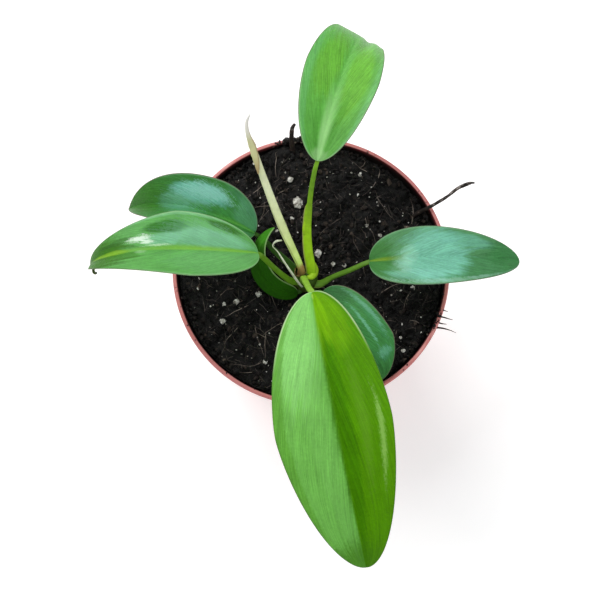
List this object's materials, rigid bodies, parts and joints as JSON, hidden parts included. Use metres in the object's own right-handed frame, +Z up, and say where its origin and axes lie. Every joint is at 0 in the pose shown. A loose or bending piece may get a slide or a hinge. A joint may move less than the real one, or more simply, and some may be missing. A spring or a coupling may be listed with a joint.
{
  "type": "potted philodendron",
  "caption": "Young philodendron with narrow arched leaves, a rolled new leaf and soil, standing in a small round plastic nursery pot.",
  "frame": {"origin": "middle of the pot's underside, on the flat pad that it rests on", "axes": "+Z up the pot's axis, -Y towards the largest and newest leaf, +X towards the leaf that lies to the right when the plant is seen from above with the newest leaf nearest"},
  "size_m": [0.1773, 0.2242, 0.1851],
  "materials": {
    "pot_plastic": "satin",
    "potting_soil": "matte",
    "crown_tissue": "matte",
    "young_leaf": "satin",
    "light_leaf": "satin",
    "mature_leaf": "gloss",
    "light_stalk": "satin",
    "mature_stalk": "satin",
    "cream_sheath": "matte",
    "dried_tissue": "matte",
    "dead_root": "matte"
  },
  "bodies": {
    "root": {"pot": "pot_plastic", "soil": "potting_soil", "stem": "crown_tissue", "front_leaf_blade": "young_leaf", "front_leaf_stalk": "light_stalk", "back_leaf_blade": "light_leaf", "back_leaf_stalk": "light_stalk", "right_leaf_blade": "mature_leaf", "right_leaf_stalk": "mature_stalk", "left_front_leaf_blade": "mature_leaf", "left_front_leaf_stalk": "mature_stalk", "left_back_leaf_blade": "mature_leaf", "left_back_leaf_stalk": "mature_stalk", "low_front_leaf_blade": "mature_leaf", "low_front_leaf_stalk": "mature_stalk", "crown_leaf_blade": "mature_leaf", "crown_leaf_stalk": "mature_stalk", "new_leaf_sheath": "cream_sheath", "dried_strip": "dried_tissue", "dry_root": "dead_root", "root_stub": "dead_root"}
  },
  "joints": []
}
